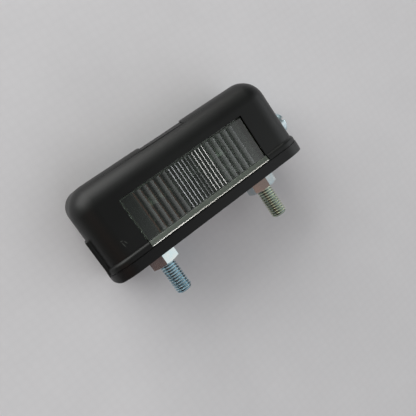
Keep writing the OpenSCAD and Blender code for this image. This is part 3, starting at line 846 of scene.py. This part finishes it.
def lens_body():
    bm = bmesh.new()
    last_y, last_z, kind = around[0]
    row = [bm.verts.new(Vector((x, last_y, last_z)) * mm) for x, high in flutes]
    edges = [bm.edges.new(pair) for pair in zip(row, row[1:])]
    rows = [row]
    for y, z, kind in around[1:]:
        grown = bmesh.ops.extrude_edge_only(bm, edges=edges)["geom"]
        row = sorted((g for g in grown if isinstance(g, bmesh.types.BMVert)), key=lambda vert: vert.co.x)
        edges = [g for g in grown if runs_along(g)]
        bmesh.ops.translate(bm, verts=row, vec=Vector((0, y - last_y, z - last_z)) * mm)
        last_y, last_z = y, z
        rows.append(row)
    for row, (y, z, kind) in zip(rows, around):
        if kind in ("ribs", "ridge"):
            for vert, (x, high) in zip(row, flutes):
                vert.co.z += (high + (ridge_high if kind == "ridge" and x == ridge_x else 0)) * mm
        if kind:
            for vert in (row[0], row[-1]):
                vert.co.z -= edge_in * mm
    first = [edge for edge in bm.edges if edge.verts[0] in rows[0] and edge.verts[1] in rows[0]]
    bmesh.ops.bridge_loops(bm, edges=first + edges)
    fill_holes(bm)
    return new_object("fluted_lens", bm)


lens = lens_body()
flange = box_solid(flange_low, (lens_high[0], lens_high[1], flange_front))
boolean(lens, flange, "UNION")
declare(lens, "lens", polycarbonate, 0.04, 18)

# %% [markdown]
# Only the face and the bead of the lens were polished in the mould. Its sloping edges and the ramp
# on its foot are matt, and take the light as a soft grey. A second material on those faces does
# this, and the direction and place of each face tell which they are.

# %% Matt edges and ramp
lens.data.materials.append(matt_polycarbonate)
matt_count = 0
for face in lens.data.polygons:
    x, y, z = face.center / mm
    sloping = 0.3 < face.normal.z < 0.97 and z > lens_face - edge_in
    on_edge = abs(x) > lens_half - edge_in or y > lens_top - edge_in
    on_ramp = bead_high < y < lens_foot_top and abs(x) < lens_half
    if sloping and (on_edge or on_ramp):
        face.material_index = 1
        matt_count += 1
print("matt faces on the lens:", matt_count)

# %% [markdown]
# ## Threaded studs
# An M6 thread climbs 1 mm for each turn. One groove and crest are drawn as a short profile, and
# the spin operator turns it round the stud while it lifts it, which leaves a helix. Where the
# profile is just one pitch high, each turn meets the next. The helix is made too long at both ends
# and is trimmed by a turned blank, whose chamfer gives the stud its tapered first thread.

# %% Threads
pitch, thread_r, root_r, crest_soft = 1.0, 3.0, 2.39, 0.02
stud_end, thread_top = bolt_low[1], 2.2
steps_per_turn, turns, turns_below = 36, 22, 1.5
groove = [(root_r, 0), (root_r, 0.18), (thread_r - crest_soft, 0.5), (thread_r, 0.54), (thread_r, 0.6),
          (thread_r - crest_soft, 0.64), (root_r, 1.0)]


def outline_edges(bm, points):
    """Vertices and edges of an outline of radii and heights."""
    verts = [bm.verts.new(Vector((r, y, 0)) * mm) for r, y in points]
    return verts + [bm.edges.new(pair) for pair in zip(verts, verts[1:])]


def thread_solid(x):
    start_y = stud_end - turns_below * pitch
    bm = bmesh.new()
    profile = outline_edges(bm, [(r, start_y + y * pitch) for r, y in groove])
    bmesh.ops.spin(bm, geom=profile, cent=(0, 0, 0), axis=(0, -1, 0), angle=2 * math.pi * turns,
                   dvec=(0, pitch * mm / steps_per_turn, 0), steps=steps_per_turn * turns)
    bmesh.ops.remove_doubles(bm, verts=bm.verts, dist=wide_merge_mm * mm)
    for y, sign in ((stud_end - 0.2, -1), (thread_top + 0.4, 1)):
        bmesh.ops.bisect_plane(bm, geom=bm.verts[:] + bm.edges[:] + bm.faces[:], plane_co=(0, y * mm, 0),
                               plane_no=(0, sign, 0), clear_outer=True)
    fill_holes(bm)
    bmesh.ops.translate(bm, verts=bm.verts, vec=(x * mm, 0, 0))
    return new_object("threaded_stud", bm)


def turned(points, x, segments):
    """An outline, turned round the stud's axis."""
    bm = bmesh.new()
    profile = outline_edges(bm, points)
    bmesh.ops.spin(bm, geom=profile, cent=(0, 0, 0), axis=(0, 1, 0), angle=2 * math.pi,
                   steps=segments, use_merge=True)
    bmesh.ops.remove_doubles(bm, verts=bm.verts, dist=wide_merge_mm * mm)
    bmesh.ops.translate(bm, verts=bm.verts, vec=(x * mm, 0, 0))
    return new_object("tool", bm)


print("thread of", turns, "turns before it is trimmed")

# %% [markdown]
# Inside the lamp each stud ends in a hexagon head, which sits in a pocket of the base plate and
# can't turn there. It is a six-sided cylinder. A turned blank with a sloping shoulder is kept in
# common with it, and that rounds off its upper corners as a forged head's are.

# %% Bolts
hex_af, head_h = bolt_high[0] - bolt_low[0], 4.0
head_top = bolt_high[1]
tip_r, blank_r, tip_taper = 2.2, 3.1, 0.9
shoulder_in, shoulder_down = 0.8, 0.35


def bolt_head(x):
    bm = bmesh.new()
    corner = hex_af / 2 / math.cos(math.pi / 6)
    bmesh.ops.create_cone(bm, cap_ends=True, segments=6, radius1=corner * mm, radius2=corner * mm,
                          depth=head_h * mm)
    bmesh.ops.rotate(bm, verts=bm.verts, matrix=Matrix.Rotation(math.pi / 2, 3, "X"), cent=(0, 0, 0))
    bmesh.ops.translate(bm, verts=bm.verts, vec=Vector((x, head_top - head_h / 2, 0)) * mm)
    head = new_object("tool", bm)
    low, wide = head_top - head_h - past, corner + 0.1
    outline = [(0, low), (wide, low), (wide, head_top - shoulder_down), (corner - shoulder_in, head_top),
               (0, head_top)]
    return boolean(head, turned(outline, x, 64), "INTERSECT")


blank = [(0, stud_end), (tip_r, stud_end), (blank_r, stud_end + tip_taper), (blank_r, thread_top),
         (0, thread_top)]
for name, x, metal in (("left", -stud_x, blue_zinc), ("right", stud_x, olive_zinc)):
    bolt = thread_solid(x)
    boolean(bolt, turned(blank, x, 64), "INTERSECT")
    boolean(bolt, bolt_head(x), "UNION")
    bolt.name = "threaded_bolt_" + name
    declare(bolt, "bolt_" + name, metal, 0.0, 40)
